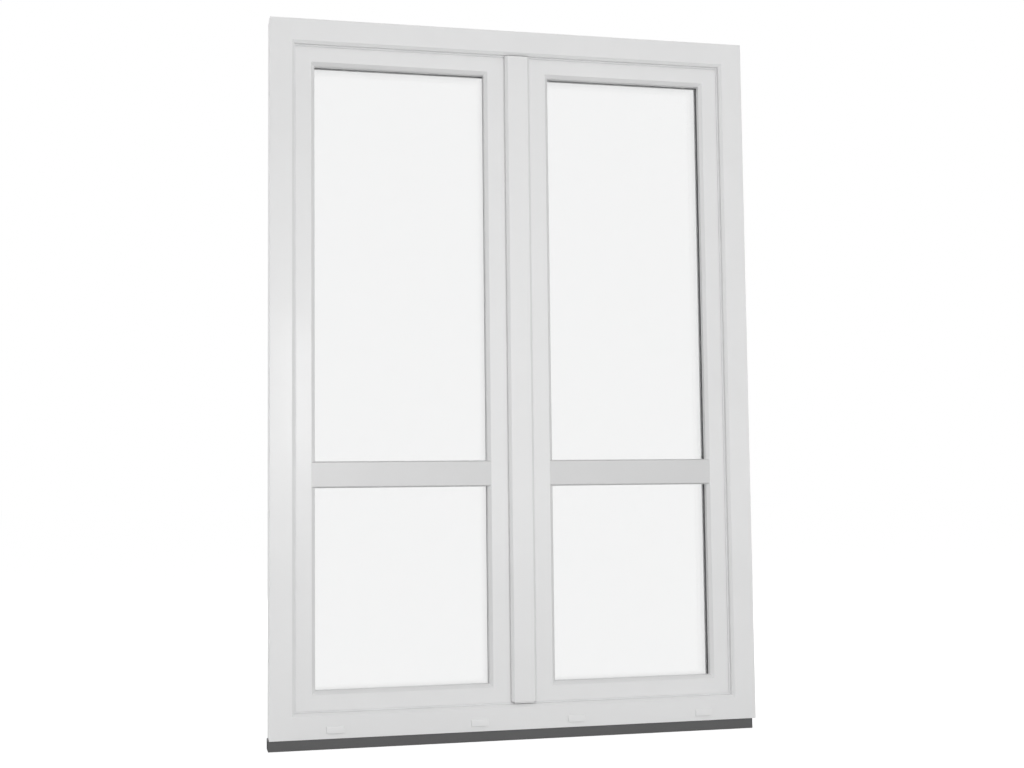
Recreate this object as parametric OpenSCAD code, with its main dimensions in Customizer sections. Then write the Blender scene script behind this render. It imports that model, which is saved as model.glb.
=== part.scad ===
// Double casement window in white uPVC with a floating mullion, seen from outside along +Y.
// X runs along the width, Y points into the room, Z is up. The origin is on the underside of the
// base profile, at the middle of the width and of the frame's depth.

/* [Window] */
// Width of the outer frame
win_w = 1450; // [1250:10:1800]
// Height of the outer frame, without the base profile
win_h = 2070; // [1650:10:2500]
// Height of the base profile under the frame
base_h = 30; // [20:1:40]

// Shift of the meeting line to the right of the window's middle
meet_shift = 11; // [-30:1:30]

/* [Frame profile] */
// Depth of the frame from its outer face to its room face
frame_d = 82; // [76:1:92]
// Visible width of the frame, up to the edge of its lip
frame_face = 72; // [66:1:90]
// Height of the lip above the rebate floor
lip_h = 20; // [18:1:22]
// Thickness of the lip that the leaf closes against
lip_t = 18; // [16:1:20]
// Chamfer along the edge of the lip
lip_chamfer = 8; // [4:0.5:9]
// Outer walls of the hollow profiles
wall = 3; // [2:0.5:3.5]

/* [Leaf profile] */
// Depth of the leaf profile
leaf_d = 82; // [78:1:92]
// Width of the leaf profile from its overlap edge to the sight line of the glass
leaf_face = 87; // [80:1:105]
// Overlap of the leaf on the room face of the frame
overlap = 8; // [6:1:9]
// Hardware gap between the leaf and the rebate floor
rebate_gap = 12; // [11:0.5:15]
// Gap between lip and leaf that the outer seal fills
seal_gap = 4; // [3:0.5:5]
// Gap between frame and overlap that the inner seal fills
overlap_gap = 3; // [2.5:0.5:4]
// Chamfer along the sight line of the glass
sight_chamfer = 10; // [4:0.5:12]
// Thickness of the glazing lip
glazing_lip = 20; // [16:1:20]
// Width of the hardware groove in the edge of the leaf
groove_w = 16; // [16:1:18]
// Depth of the hardware groove
groove_d = 6; // [5:0.5:7]

/* [Glazing] */
// Thickness of one pane
pane_t = 4; // [3:0.5:6]
// Width of the gas space between two panes
gas_w = 16; // [12:1:16]
// Cover of the pane by the sight line
edge_cover = 18; // [15:1:20]
// Distance between the pane's edge and the seat
block_t = 5; // [4:0.5:6]
// Height of the spacer bar between the panes
spacer_h = 6; // [5:0.5:8]
// Shift of each glass unit towards the meeting line, made up by thicker blocks at the hinges
unit_shift = 3; // [0:0.5:3]
// Set-back of the beads' edge from the sight line
bead_set = 8; // [0:0.5:10]
// Width of the glazing seals that shows beside the glass
seal_proud = 1; // [0:0.5:2]
// Length of a setting block
block_len = 100; // [60:5:120]

/* [Cross bar] */
// Height of the bar's underside above the frame's bottom edge
bar_z = 706; // [500:1:1000]
// Height of the bar between its two sight lines
bar_h = 75; // [70:1:100]
// Chamfer along the bar's two edges
bar_chamfer = 3; // [2:0.5:8]

/* [Floating mullion] */
// Width of the outer strip
strip_w = 76; // [76:1:90]
// Set-back of the strip's face from the frame's outer face
strip_back = 2; // [0:0.5:4]
// Gap between the strip's lower end and the lip
strip_gap_low = 7; // [4:1:12]
// Gap between the strip's upper end and the lip
strip_gap_high = 3; // [2:0.5:6]
// Distance from the meeting line to the overlap edge of each leaf
meet_half = 12; // [11:0.5:16]

/* [Drainage] */
// Length of a drainage cap
cap_w = 50; // [40:1:60]
// Height of a drainage cap
cap_h = 20; // [14:1:24]
// Distance of the inner caps from the meeting line
cap_inner_x = 144; // [120:1:220]
// Distance of the outer caps from the frame's side
cap_side = 176; // [120:1:220]
// Shift of the row of caps to the right
cap_shift = 9; // [-20:1:20]

/* [Hardware] */
// Travel of the lock rail over a quarter turn of the handle
rail_travel = 18; // [16:0.5:20]
// Length of the handle's grip from the spindle
grip_len = 130; // [110:1:150]
// Square of the handle's spindle
spindle_w = 7; // [7:1:8]
// Outer radius of the hinge barrels
barrel_r = 9; // [8:0.5:11]
// Radius of the hinge pins
pin_r = 4; // [3.5:0.5:5]
// Running clearance of pins, bolts and hubs in their bores
running = 0.05; // [0.03:0.01:0.08]
// Height of one hinge barrel
barrel_h = 45; // [35:1:60]
// Distance of the hinges from the ends of the leaf
hinge_end = 150; // [100:5:250]
// Radius of the edge bolts
bolt_r = 4; // [3:0.5:4]
// Travel of the edge bolts
bolt_travel = 25; // [22:1:28]
// Radius of the fixing holes through the jambs
fixing_r = 5.5; // [4:0.25:6]
// Distance of the outer fixing holes from the frame's ends
fixing_end = 220; // [160:5:300]
// Height of the right jamb's fixing holes above those of the left jamb
fixing_step = 15; // [12:1:40]

/* [Hidden] */
$fn = 48;

white_pvc = "#dededf";
bar_pvc = "#d0d0d1";
grey_pvc = "#57585a";
seal_grey = "#b9babb";
steel_grey = "#9a9ea3";
alu_grey = "#c4c6c8";
glass_tint = "#e6eeec";
spacer_black = "#3a3b3c";

// Depths are measured from the frame's outer face, along +Y. The profiles' own coordinates are
// u, away from the outer edge of the ring, and t, the depth.

// Thin inner walls of the profiles, reach of cutting bodies and their overrun
web = 2;
far = 400;
over = 1;

// Frame profile
rebate_u = frame_face - lip_h;
frame_mid_z = base_h + win_h / 2;
inner_chamber = 30;
steel_t1 = frame_d - inner_chamber;
steel_wall = 1.5;
steel_play = 0.5;
steel_end = 10;
seal_w = 5;
seal_inset = 6;
seal_play = 0.4;

// Base profile
base_left = 3;
base_right = 10;
base_front = 3;
base_back = 70;
base_round = 3;
base_cell = [0, 21, 42];

// Drainage caps on the bottom rail and the slots behind them
cap_z = base_h + 25;
cap_t = 4;
cap_slope = 4;
cap_skin = 1.2;
slot_w = 30;
slot_h = 5;

// Leaf profile
leaf_t0 = lip_t + seal_gap;
leaf_t1 = leaf_t0 + leaf_d;
flange_t = frame_d + overlap_gap;
edge_u = overlap + rebate_gap;
flange_u = rebate_u - overlap;
seat_u = leaf_face - edge_cover - block_t;
lip_end_t = leaf_t0 + glazing_lip;
pane_t0 = lip_end_t + seal_gap;
pack_t = 3 * pane_t + 2 * gas_w;
bead_t0 = pane_t0 + pack_t + overlap_gap;
bead_bevel = 5;
mitre_gap = 0.4;
hardware_axis = 13;
groove_t = flange_t - hardware_axis;
steel_c0 = lip_end_t - web;
steel_c1 = groove_t - groove_w / 2 - wall;
leaf_h = win_h - 2 * flange_u;
glass_seal_w = 8;
block_end = 90;
side_block_end = 120;

// The leaf in hand: its meeting line, width and middle. The passive leaf is built as a mirror image
$meet = meet_shift;
function leaf_w() = win_w / 2 + $meet - flange_u - meet_half;
function leaf_x() = $meet - meet_half - leaf_w() / 2;
function open_w() = leaf_w() - 2 * leaf_face;

// Cross bar and glass openings between the sight lines, in z from the frame's middle
bar_mid = base_h + bar_z + bar_h / 2 - frame_mid_z;
bar_web = bar_h / 2 - edge_cover - block_t;
bar_set = 1;
open_top = leaf_h / 2 - leaf_face;
upper_h = open_top - bar_mid - bar_h / 2;
lower_h = open_top + bar_mid - bar_h / 2;
upper_mid = open_top - upper_h / 2;
lower_mid = lower_h / 2 - open_top;

// Floating mullion, in x from the meeting line
leaf_edge_x = meet_half + edge_u;
mull_x0 = rebate_gap - leaf_edge_x;
mull_x1 = leaf_edge_x;
leaf_low_z = base_h + flange_u + edge_u;
leaf_high_z = base_h + win_h - flange_u - edge_u;
strip_low_z = base_h + frame_face + strip_gap_low;
strip_high_z = base_h + win_h - frame_face - strip_gap_high;
strip_seal_w = 4;
end_cap_t = 5;
plug_play = 0.2;
plug_gap = 1;
plug_in = 12;
nib_x0 = 5 - meet_half;
nib_x1 = meet_half - 1;
nib_t = leaf_t1 - 4;

// Hinges
leaf_plate = 2;
hinge_plate = 2.5;
hinge_x = win_w / 2 - flange_u + barrel_r + 1;
hinge_t = leaf_t1 + leaf_plate - barrel_r;
hinge_low_z = leaf_low_z + hinge_end;
hinge_high_z = leaf_high_z - hinge_end;
barrel_gap = 0.5;
leaf_plate_w = 55;
pin_seat = 4;
pin_top_gap = 5;

// Lock: spindle, pinion, rack and the rail in the groove of the lock stile
handle_turn = 90;
handle_z = frame_mid_z + bar_mid;
lock_x = -meet_half - leaf_face / 2;
rack_r = rail_travel / (handle_turn * PI / 180);
teeth = 12;
tooth_module = 2 * rack_r / teeth;
pitch = PI * tooth_module;
pressure = 20;
backlash = 0.5;
addendum = 0.75 * tooth_module;
root_r = rack_r - 1.35 * tooth_module;
pinion_t = 8;
rack_teeth = 10;
rack_shift = round(rail_travel / 2 / pitch) * pitch;
edge_x = -leaf_edge_x;
groove_x = edge_x - groove_d;
faceplate_t = 2.5;
faceplate_end = 60;
rail_t = 2.6;
rail_w = 10;
rail_play = 0.3;
rail_x1 = edge_x - faceplate_t - rail_play;
rail_x0 = rail_x1 - rail_t;
rail_end = faceplate_end + rail_travel + 10;
case_half = 45;
case_wall = 1.5;
case_t0 = groove_t - groove_w / 2;
case_t1 = groove_t + groove_w / 2;
case_x0 = lock_x - rack_r - 5;
case_x1 = rail_x0 - 0.4;
hub_r = 8;
cam_r = 3;
cam_head_r = 5;
cam_head_t = 2.5;
cam_out = 8;
cam_end = 260;
cam_z = [
    leaf_low_z + cam_end, handle_z - cam_end, handle_z + cam_end + 70,
    (handle_z + leaf_high_z) / 2 + cam_end / 2, leaf_high_z - cam_end
];

// Keeps on the mullion: a base beside the cam's path and a wall behind its locked place
keep_base_t = 1.5;
keep_base_len = 41;
keep_wall_len = 23;
keep_wall_t = 2.5;
keep_out = 8.5;
keep_start = 9;
keep_hole_r = 2;

// Handle
rose_t = 10;
rose_h = 68;
rose_w = 30;
neck_r = 10;
neck_len = 34;
grip_w = 21;
grip_t = 13;
spindle_in = 20;
screw_r = 2.5;
screw_head_r = 4.4;
screw_head_t = 2.4;
screw_sink = 4;
screw_in = 6;
screw_dz = 21.5;

// Edge bolts, in guides that are let into the mullion's face
bolt_x = mull_x0 + 7;
bolt_len = 130;
bolt_set = 1;
bolt_hole_play = 0.6;
guide_len = 160;
guide_w = 14;
guide_low_z = leaf_low_z + end_cap_t;
guide_high_z = leaf_high_z - end_cap_t - guide_len;
knob_w = 6;
knob_len = 20;
knob_out = 2.5;
knob_start = 60;
bolt_keep_t = 2;

// Fixing holes through the jambs and their steel
fixing_t = (lip_t + steel_t1) / 2;
fixing_z = [base_h + fixing_end, frame_mid_z, base_h + win_h - fixing_end];

// Extrudes a (u, t) section along X, with u up and t along +Y
module bar(len) {
    rotate([0, -90, 0]) linear_extrude(len, center = true) children();
}

// One mitred side of a ring of w by h: 0 bottom, 1 left, 2 top, 3 right. Its child is the section
module ring_side(w, h, k, reach, gap = 0) {
    span = (k % 2 == 0 ? w : h) - gap;
    half = (k % 2 == 0 ? h : w) / 2;
    rotate([0, 90 * k, 0]) translate([0, 0, -half]) intersection() {
        bar(span) children();
        rotate([90, 0, 0]) linear_extrude(far, center = true)
            polygon([[-span / 2, 0], [span / 2, 0], [span / 2 - reach, reach], [reach - span / 2, reach]]);
    }
}

// A rectangle given by two corners
module area(a, b) {
    translate(a) square(b - a);
}

// A box given by two corners
module block(a, b) {
    translate(a) cube(b - a);
}

// A flat plate with round ends, long side along Z, thickness along Y
module stadium(w, h, t) {
    rotate([90, 0, 0]) linear_extrude(t, center = true) {
        square([w, h - w], center = true);
        for (s = [-1, 1]) translate([0, s * (h - w) / 2]) circle(d = w);
    }
}

// Cylinders along the row's axes, from a start point
module rod_x(p, r, len) {
    translate(p) rotate([0, 90, 0]) cylinder(r = r, h = len);
}
module rod_y(p, r, len) {
    translate(p) rotate([-90, 0, 0]) cylinder(r = r, h = len);
}
module rod_z(p, r, len) {
    translate(p) cylinder(r = r, h = len);
}

// Moves a child from depths measured off the outer face to the row's frame
module in_depth() {
    translate([0, -frame_d / 2, 0]) children();
}
module in_frame() {
    translate([0, -frame_d / 2, frame_mid_z]) children();
}
module in_leaf() {
    translate([leaf_x(), -frame_d / 2, frame_mid_z]) children();
}
module at_meeting() {
    translate([meet_shift, -frame_d / 2, 0]) children();
}
module passive() {
    $meet = -meet_shift;
    mirror([1, 0, 0]) children();
}

/* Frame */
module frame_section() {
    difference() {
        polygon([
            [0, 0], [frame_face - lip_chamfer, 0], [frame_face, lip_chamfer], [frame_face, lip_t],
            [rebate_u, lip_t], [rebate_u, frame_d], [0, frame_d]
        ]);
        area([wall, wall], [rebate_u - wall, lip_t - wall]);
        area([rebate_u, wall], [frame_face - lip_chamfer - wall, lip_t - wall]);
        area([wall, lip_t], [rebate_u - wall, steel_t1]);
        area([wall, steel_t1 + wall], [rebate_u - wall, frame_d - wall]);
    }
}
module frame_side(k) {
    in_frame() ring_side(win_w, win_h, k, frame_face) frame_section();
}
module drain_x() {
    mid = [meet_shift - cap_inner_x, meet_shift + cap_inner_x];
    for (x = [cap_side - win_w / 2, mid[0], mid[1], win_w / 2 - cap_side])
        translate([x + cap_shift, 0, 0]) children();
}
// A hole for an edge bolt through a wall of thickness t that starts at height z
module bolt_hole(z, t) {
    at_meeting() rod_z([bolt_x, groove_t, z - over], bolt_r + bolt_hole_play, t + 2 * over);
}
module frame_sill() color(white_pvc) {
    difference() {
        frame_side(0);
        in_depth() drain_x()
            block([-slot_w / 2, -over, cap_z - slot_h / 2], [slot_w / 2, wall + over, cap_z + slot_h / 2]);
        bolt_hole(base_h + rebate_u - wall, wall);
    }
}
module frame_head() color(white_pvc) {
    difference() {
        frame_side(2);
        bolt_hole(base_h + win_h - rebate_u, wall);
    }
}
// The holes of one jamb. The other jamb's are staggered, so that no two anchors share an axis
module jamb_holes(step = 0) {
    in_depth() for (z = fixing_z)
        rod_x([-win_w / 2 - over, fixing_t, z + step], fixing_r, rebate_u + 2 * over);
}
module frame_left_jamb() color(white_pvc) {
    difference() {
        frame_side(1);
        jamb_holes();
    }
}
module frame_right_jamb() color(white_pvc) {
    difference() {
        frame_side(3);
        passive() jamb_holes(fixing_step);
    }
}
// Square steel tubes in the frame's main chamber, cut short of the mitres
module frame_steel() color(steel_grey) difference() {
    frame_tubes();
    jamb_holes();
    passive() jamb_holes(fixing_step);
}
module frame_tubes() {
    u0 = wall + steel_play;
    u1 = rebate_u - wall - steel_play;
    t0 = lip_t + steel_play;
    t1 = steel_t1 - steel_play;
    for (k = [0:3]) {
        span = k % 2 == 0 ? win_w : win_h;
        half = (k % 2 == 0 ? win_h : win_w) / 2;
        in_frame() rotate([0, 90 * k, 0]) translate([0, 0, -half])
            bar(span - 2 * frame_face - 2 * steel_end) difference() {
                area([u0, t0], [u1, t1]);
                area([u0 + steel_wall, t0 + steel_wall], [u1 - steel_wall, t1 - steel_wall]);
            }
    }
}
// The outer seal lies on the lip's inner face all the way round
module frame_seal() color(seal_grey) {
    u = frame_face - seal_inset;
    for (k = [0:3]) in_frame() ring_side(win_w, win_h, k, frame_face)
        area([u, lip_t], [u + seal_w, lip_t + seal_gap - seal_play]);
}
module base_profile() color(grey_pvc) {
    x0 = -win_w / 2 - base_left;
    x1 = win_w / 2 - base_right;
    in_depth() translate([(x0 + x1) / 2, 0, 0]) bar(x1 - x0) difference() {
        union() {
            area([0, base_front + base_round], [base_h, base_back]);
            area([base_round, base_front], [base_h, base_front + base_round]);
            translate([base_round, base_front + base_round]) circle(r = base_round);
        }
        for (t = base_cell)
            area([wall, base_front + wall + t], [base_h - wall, base_front + base_cell[1] + t]);
    }
}
module drain_caps() color(white_pvc) {
    in_depth() drain_x() difference() {
        translate([0, -cap_t, cap_z]) rotate([90, 0, 90]) linear_extrude(cap_w, center = true)
            polygon([
                [0, -cap_h / 2], [cap_t, -cap_h / 2], [cap_t, cap_h / 2],
                [cap_t / 2, cap_h / 2], [0, cap_h / 2 - cap_slope]
            ]);
        block([-slot_w / 2, cap_skin - cap_t, cap_z - cap_h / 2 - over],
            [slot_w / 2, over, cap_z + slot_h / 2]);
    }
}

/* Hinges */
// Frame half: a plate on the room face and the lower barrel around the axis
module hinge_base(z) color(white_pvc) {
    z1 = z + barrel_h;
    in_depth() difference() {
        union() {
            block([web - win_w / 2, frame_d, z], [flange_u - web - win_w / 2, frame_d + hinge_plate, z1]);
            block([-hinge_x - barrel_r, frame_d, z], [barrel_r - wall - hinge_x, hinge_t, z1]);
            rod_z([-hinge_x, hinge_t, z], barrel_r, barrel_h);
        }
        rod_z([-hinge_x, hinge_t, z + pin_seat], pin_r, barrel_h);
    }
}
// Leaf half: the upper barrel and a plate on the leaf's room face
module hinge_leaf(z) color(white_pvc) {
    z0 = z + barrel_h + barrel_gap;
    in_depth() difference() {
        union() {
            block([-hinge_x, leaf_t1, z0], [leaf_plate_w - hinge_x, leaf_t1 + leaf_plate, z0 + barrel_h]);
            rod_z([-hinge_x, hinge_t, z0], barrel_r, barrel_h);
        }
        rod_z([-hinge_x, hinge_t, z0 - over], pin_r + running, barrel_h - pin_top_gap + over);
    }
}
module left_upper_hinge_base() hinge_base(hinge_high_z);
module left_lower_hinge_base() hinge_base(hinge_low_z);
module right_upper_hinge_base() passive() hinge_base(hinge_high_z);
module right_lower_hinge_base() passive() hinge_base(hinge_low_z);
module hinge_pins() color(steel_grey) {
    len = 2 * (barrel_h - pin_seat - pin_top_gap);
    for (z = [hinge_low_z, hinge_high_z], s = [-1, 1])
        in_depth() rod_z([s * hinge_x, hinge_t, z + pin_seat], pin_r, len);
}
module bolt_keeps() color(alu_grey) {
    for (z = [base_h + rebate_u, base_h + win_h - rebate_u - bolt_keep_t]) at_meeting() difference() {
        block([bolt_x - 9, case_t0, z], [bolt_x + 30, case_t1, z + bolt_keep_t]);
        rod_z([bolt_x, groove_t, z - over], bolt_r + bolt_hole_play, bolt_keep_t + 2 * over);
        rod_z([bolt_x + 20, groove_t, z - over], keep_hole_r, bolt_keep_t + 2 * over);
    }
}

/* Leaves, modelled on the left and mirrored for the right */
module leaf_outline() {
    polygon([
        [edge_u, leaf_t0], [leaf_face - sight_chamfer, leaf_t0],
        [leaf_face, leaf_t0 + sight_chamfer], [leaf_face, lip_end_t], [seat_u, lip_end_t],
        [seat_u, leaf_t1], [0, leaf_t1], [0, flange_t], [edge_u, flange_t]
    ]);
}
module leaf_section() {
    difference() {
        leaf_outline();
        area([edge_u - over, case_t0], [edge_u + groove_d, case_t1]);
        area([edge_u + wall, leaf_t0 + wall], [seat_u - wall, steel_c0 - web]);
        area([seat_u, leaf_t0 + wall], [leaf_face - sight_chamfer - web, lip_end_t - wall]);
        area([edge_u + wall, steel_c0], [seat_u - wall, steel_c1]);
        area([edge_u + groove_d + wall, steel_c1 + wall], [seat_u - wall, flange_t - wall]);
        area([wall, flange_t + wall], [seat_u - wall, leaf_t1 - wall]);
    }
}
module leaf_side(k) {
    in_leaf() ring_side(leaf_w(), leaf_h, k, leaf_face) leaf_section();
}
// T-shaped bar, coped over the chamfered lips of the two stiles
module cross_bar() color(bar_pvc) {
    half = bar_h / 2;
    face_t = leaf_t0 + bar_set;
    in_leaf() translate([0, 0, bar_mid]) difference() {
        bar(leaf_w() - 2 * seat_u) difference() {
            polygon([
                [-half + bar_chamfer, face_t], [half - bar_chamfer, face_t], [half, face_t + bar_chamfer],
                [half, lip_end_t], [bar_web, lip_end_t], [bar_web, leaf_t1], [-bar_web, leaf_t1],
                [-bar_web, lip_end_t], [-half, lip_end_t], [-half, face_t + bar_chamfer]
            ]);
            area([-half + bar_chamfer + web, face_t + wall], [half - bar_chamfer - web, lip_end_t - wall]);
            area([-bar_web + wall, lip_end_t], [bar_web - wall, steel_c1]);
            area([-bar_web + wall, steel_c1 + wall], [bar_web - wall, leaf_t1 - wall]);
        }
        for (k = [0, 180]) rotate([0, k, 0]) translate([-leaf_w() / 2, 0, 0])
            linear_extrude(bar_h + 2 * over, center = true) leaf_outline();
    }
}
// U-shaped steel in the main chamber of the four sides and of the bar
module leaf_steel() color(steel_grey) {
    u0 = edge_u + wall + steel_play;
    u1 = seat_u - wall - steel_play;
    t0 = steel_c0 + steel_play;
    t1 = steel_c1 - steel_play;
    v = bar_web - wall - steel_play;
    for (k = [0:3]) {
        span = k % 2 == 0 ? leaf_w() : leaf_h;
        half = (k % 2 == 0 ? leaf_h : leaf_w()) / 2;
        in_leaf() rotate([0, 90 * k, 0]) translate([0, 0, -half])
            bar(span - 2 * leaf_face - 2 * steel_end) difference() {
                area([u0, t0], [u1, t1]);
                area([u0 + steel_wall, t0 + steel_wall], [u1 - steel_wall, t1 - steel_wall]);
            }
    }
    in_leaf() translate([0, 0, bar_mid]) bar(leaf_w() - 2 * seat_u - steel_end) difference() {
        area([-v, t0 + web], [v, t1]);
        area([-v + steel_wall, t0 + web + steel_wall], [v - steel_wall, t1 - steel_wall]);
    }
}
// Three panes of one opening
module glass_unit(mid, h) color(glass_tint) {
    for (i = [0:2]) {
        t = pane_t0 + i * (pane_t + gas_w);
        in_leaf() translate([0, t + pane_t / 2, mid])
            translate([unit_shift, 0, 0])
                cube([open_w() + 2 * edge_cover, pane_t, h + 2 * edge_cover], center = true);
    }
}
// A flat rectangular ring around an opening of w by h, from depth t0 to t1
module flat_ring(w, h, inner, outer, t0, t1) {
    translate([0, (t0 + t1) / 2, 0]) difference() {
        cube([w + 2 * outer, t1 - t0, h + 2 * outer], center = true);
        cube([w + 2 * inner, t1 - t0 + 2 * over, h + 2 * inner], center = true);
    }
}
module each_opening() {
    in_leaf() {
        translate([0, 0, upper_mid]) {
            $open_h = upper_h;
            children();
        }
        translate([0, 0, lower_mid]) {
            $open_h = lower_h;
            children();
        }
    }
}
module leaf_spacers() color(spacer_black) {
    each_opening() for (i = [0, 1]) {
        t = pane_t0 + pane_t + i * (pane_t + gas_w);
        translate([unit_shift, 0, 0])
            flat_ring(open_w(), $open_h, edge_cover - spacer_h, edge_cover, t, t + gas_w);
    }
}
module leaf_glass_seals() color(seal_grey) {
    each_opening() {
        flat_ring(open_w(), $open_h, -seal_proud, glass_seal_w, lip_end_t, pane_t0);
        flat_ring(open_w(), $open_h, bead_set - seal_proud, bead_set + glass_seal_w,
            bead_t0 - overlap_gap, bead_t0);
    }
}
// Four mitred beads round each opening, on the room side of the glass
module leaf_beads() color(white_pvc) {
    seat = edge_cover + block_t;
    each_opening() for (k = [0:3])
        ring_side(open_w() + 2 * seat, $open_h + 2 * seat, k, seat, mitre_gap) difference() {
            polygon([
                [0, bead_t0], [seat - bead_set, bead_t0], [seat - bead_set, leaf_t1 - bead_bevel],
                [seat - bead_set - bead_bevel, leaf_t1], [0, leaf_t1]
            ]);
            area([web, bead_t0 + web], [seat - bead_set - bead_bevel - web, leaf_t1 - web]);
        }
}
module leaf_overlap_seal() color(seal_grey) {
    for (k = [0:3]) in_leaf() ring_side(leaf_w(), leaf_h, k, leaf_face)
        area([steel_wall, frame_d + seal_play], [steel_wall + seal_w, flange_t]);
}
// Two blocks carry each glass unit and one on each side keeps it in place
module leaf_setting_blocks() color(spacer_black) {
    reach = edge_cover + block_t / 2;
    each_opening() {
        for (s = [-1, 1]) {
            translate([s * (open_w() / 2 - block_end), pane_t0 + pack_t / 2, -$open_h / 2 - reach])
                cube([block_len, pack_t, block_t], center = true);
            translate([
                s * (open_w() / 2 + reach) + unit_shift / 2, pane_t0 + pack_t / 2,
                $open_h / 2 - side_block_end
            ])
                cube([block_t - s * unit_shift, pack_t, block_len], center = true);
        }
    }
}
module active_foot_rail() color(white_pvc) leaf_side(0);
module active_head_rail() color(white_pvc) leaf_side(2);
module active_hinge_stile() color(white_pvc) leaf_side(1);
module active_cross_bar() cross_bar();
module active_steel() leaf_steel();
module active_upper_glass() glass_unit(upper_mid, upper_h);
module active_lower_glass() glass_unit(lower_mid, lower_h);
module active_spacers() leaf_spacers();
module active_beads() leaf_beads();
module active_glass_seals() leaf_glass_seals();
module active_overlap_seal() leaf_overlap_seal();
module active_setting_blocks() leaf_setting_blocks();
module active_upper_hinge_leaf() hinge_leaf(hinge_high_z);
module active_lower_hinge_leaf() hinge_leaf(hinge_low_z);
module passive_foot_rail() color(white_pvc) passive() leaf_side(0);
module passive_head_rail() color(white_pvc) passive() leaf_side(2);
module passive_hinge_stile() color(white_pvc) passive() leaf_side(1);
module passive_meeting_stile() color(white_pvc) passive() leaf_side(3);
module passive_cross_bar() passive() cross_bar();
module passive_steel() passive() leaf_steel();
module passive_upper_glass() passive() glass_unit(upper_mid, upper_h);
module passive_lower_glass() passive() glass_unit(lower_mid, lower_h);
module passive_spacers() passive() leaf_spacers();
module passive_beads() passive() leaf_beads();
module passive_glass_seals() passive() leaf_glass_seals();
module passive_overlap_seal() passive() leaf_overlap_seal();
module passive_setting_blocks() passive() leaf_setting_blocks();
module passive_upper_hinge_leaf() passive() hinge_leaf(hinge_high_z);
module passive_lower_hinge_leaf() passive() hinge_leaf(hinge_low_z);

/* Lock of the active leaf */
// The lock stile is routed for the case, the spindle and the two screws of the rose
module active_lock_stile() color(white_pvc) {
    difference() {
        leaf_side(3);
        at_meeting() translate([0, 0, handle_z]) {
            block([case_x0, case_t0, -case_half], [groove_x + over, case_t1, case_half]);
            rod_y([lock_x, case_t0, 0], hub_r + 1, leaf_d);
            for (s = [-1, 1]) rod_y([lock_x, case_t0, s * screw_dz], screw_r, leaf_d);
        }
    }
}
// A hollow case with bearings for the hub, open towards the rail
module lock_case() color(steel_grey) {
    at_meeting() translate([0, 0, handle_z]) difference() {
        block([case_x0, case_t0, -case_half], [case_x1, case_t1, case_half]);
        block([case_x0 + case_wall, case_t0 + case_wall, -case_half + case_wall],
            [case_x1 + over, case_t1 - case_wall, case_half - case_wall]);
        rod_y([lock_x, case_t0 - over, 0], hub_r + running, groove_w + 2 * over);
        for (s = [-1, 1])
            rod_y([lock_x, case_t1 - case_wall - over, s * screw_dz], screw_r, case_wall + 2 * over);
    }
}
// Involute flanks: the angle that the involute has turned through at a radius
base_r = rack_r * cos(pressure);
function roll(r) = r > base_r ? sqrt(r * r / (base_r * base_r) - 1) : 0;
function involute(r) = roll(r) * 180 / PI - atan(roll(r));
half_tooth = 90 / teeth - backlash / rack_r * 90 / PI + involute(rack_r);
// One flank from the root to the tip, above the axis for side 1 and below it for side -1
function flank(side) = [
    for (j = [0:5])
        let (r = root_r + (rack_r + addendum - root_r) * j / 5, a = half_tooth - involute(r))
        [r * cos(a), side * r * sin(a)]
];
function reversed(list) = [for (i = [len(list) - 1:-1:0]) list[i]];
module pinion_shape() {
    difference() {
        union() {
            circle(r = root_r + 0.1);
            for (i = [0:teeth - 1]) rotate(i * 360 / teeth)
                polygon(concat([[0, 0]], flank(-1), reversed(flank(1))));
        }
        square(spindle_w + 2 * running, center = true);
    }
}
module lock_pinion() color(steel_grey) {
    at_meeting() translate([lock_x, groove_t, handle_z]) rotate([90, 0, 0]) {
        linear_extrude(pinion_t, center = true) pinion_shape();
        for (s = [-1, 1]) translate([0, 0, s * (pinion_t / 2 + groove_w / 2) / 2])
            linear_extrude(groove_w / 2 - pinion_t / 2, center = true) difference() {
                circle(r = hub_r);
                square(spindle_w + 2 * running, center = true);
            }
    }
}
// The rail slides behind the faceplate and carries the rack that the pinion drives
module rack_shape() {
    tooth = pitch / 2 - backlash / 2;
    rise = tan(pressure);
    tip = addendum;
    foot = 1.2 * tooth_module;
    back = rail_x0 - (lock_x + rack_r);
    half_len = rack_teeth / 2 * pitch;
    for (y = [pitch / 2 - half_len:pitch:half_len]) translate([0, y]) polygon([
        [-tip, -tooth / 2 + tip * rise], [foot, -tooth / 2 - foot * rise],
        [foot, tooth / 2 + foot * rise], [-tip, tooth / 2 - tip * rise]
    ]);
    area([foot - 0.2, -half_len], [back, half_len]);
}
module lock_rail() color(alu_grey) {
    at_meeting() {
        block([rail_x0, groove_t - rail_w / 2, leaf_low_z + rail_end],
            [rail_x1, groove_t + rail_w / 2, leaf_high_z - rail_end]);
        translate([lock_x + rack_r, groove_t, handle_z - rack_shift]) rotate([90, 0, 0])
            linear_extrude(pinion_t, center = true) rack_shape();
    }
}
module lock_cams() color(steel_grey) {
    for (z = cam_z) at_meeting() {
        rod_x([rail_x1, groove_t, z], cam_r, edge_x - rail_x1 + cam_out);
        rod_x([edge_x + cam_out - cam_head_t, groove_t, z], cam_head_r, cam_head_t);
    }
}
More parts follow.
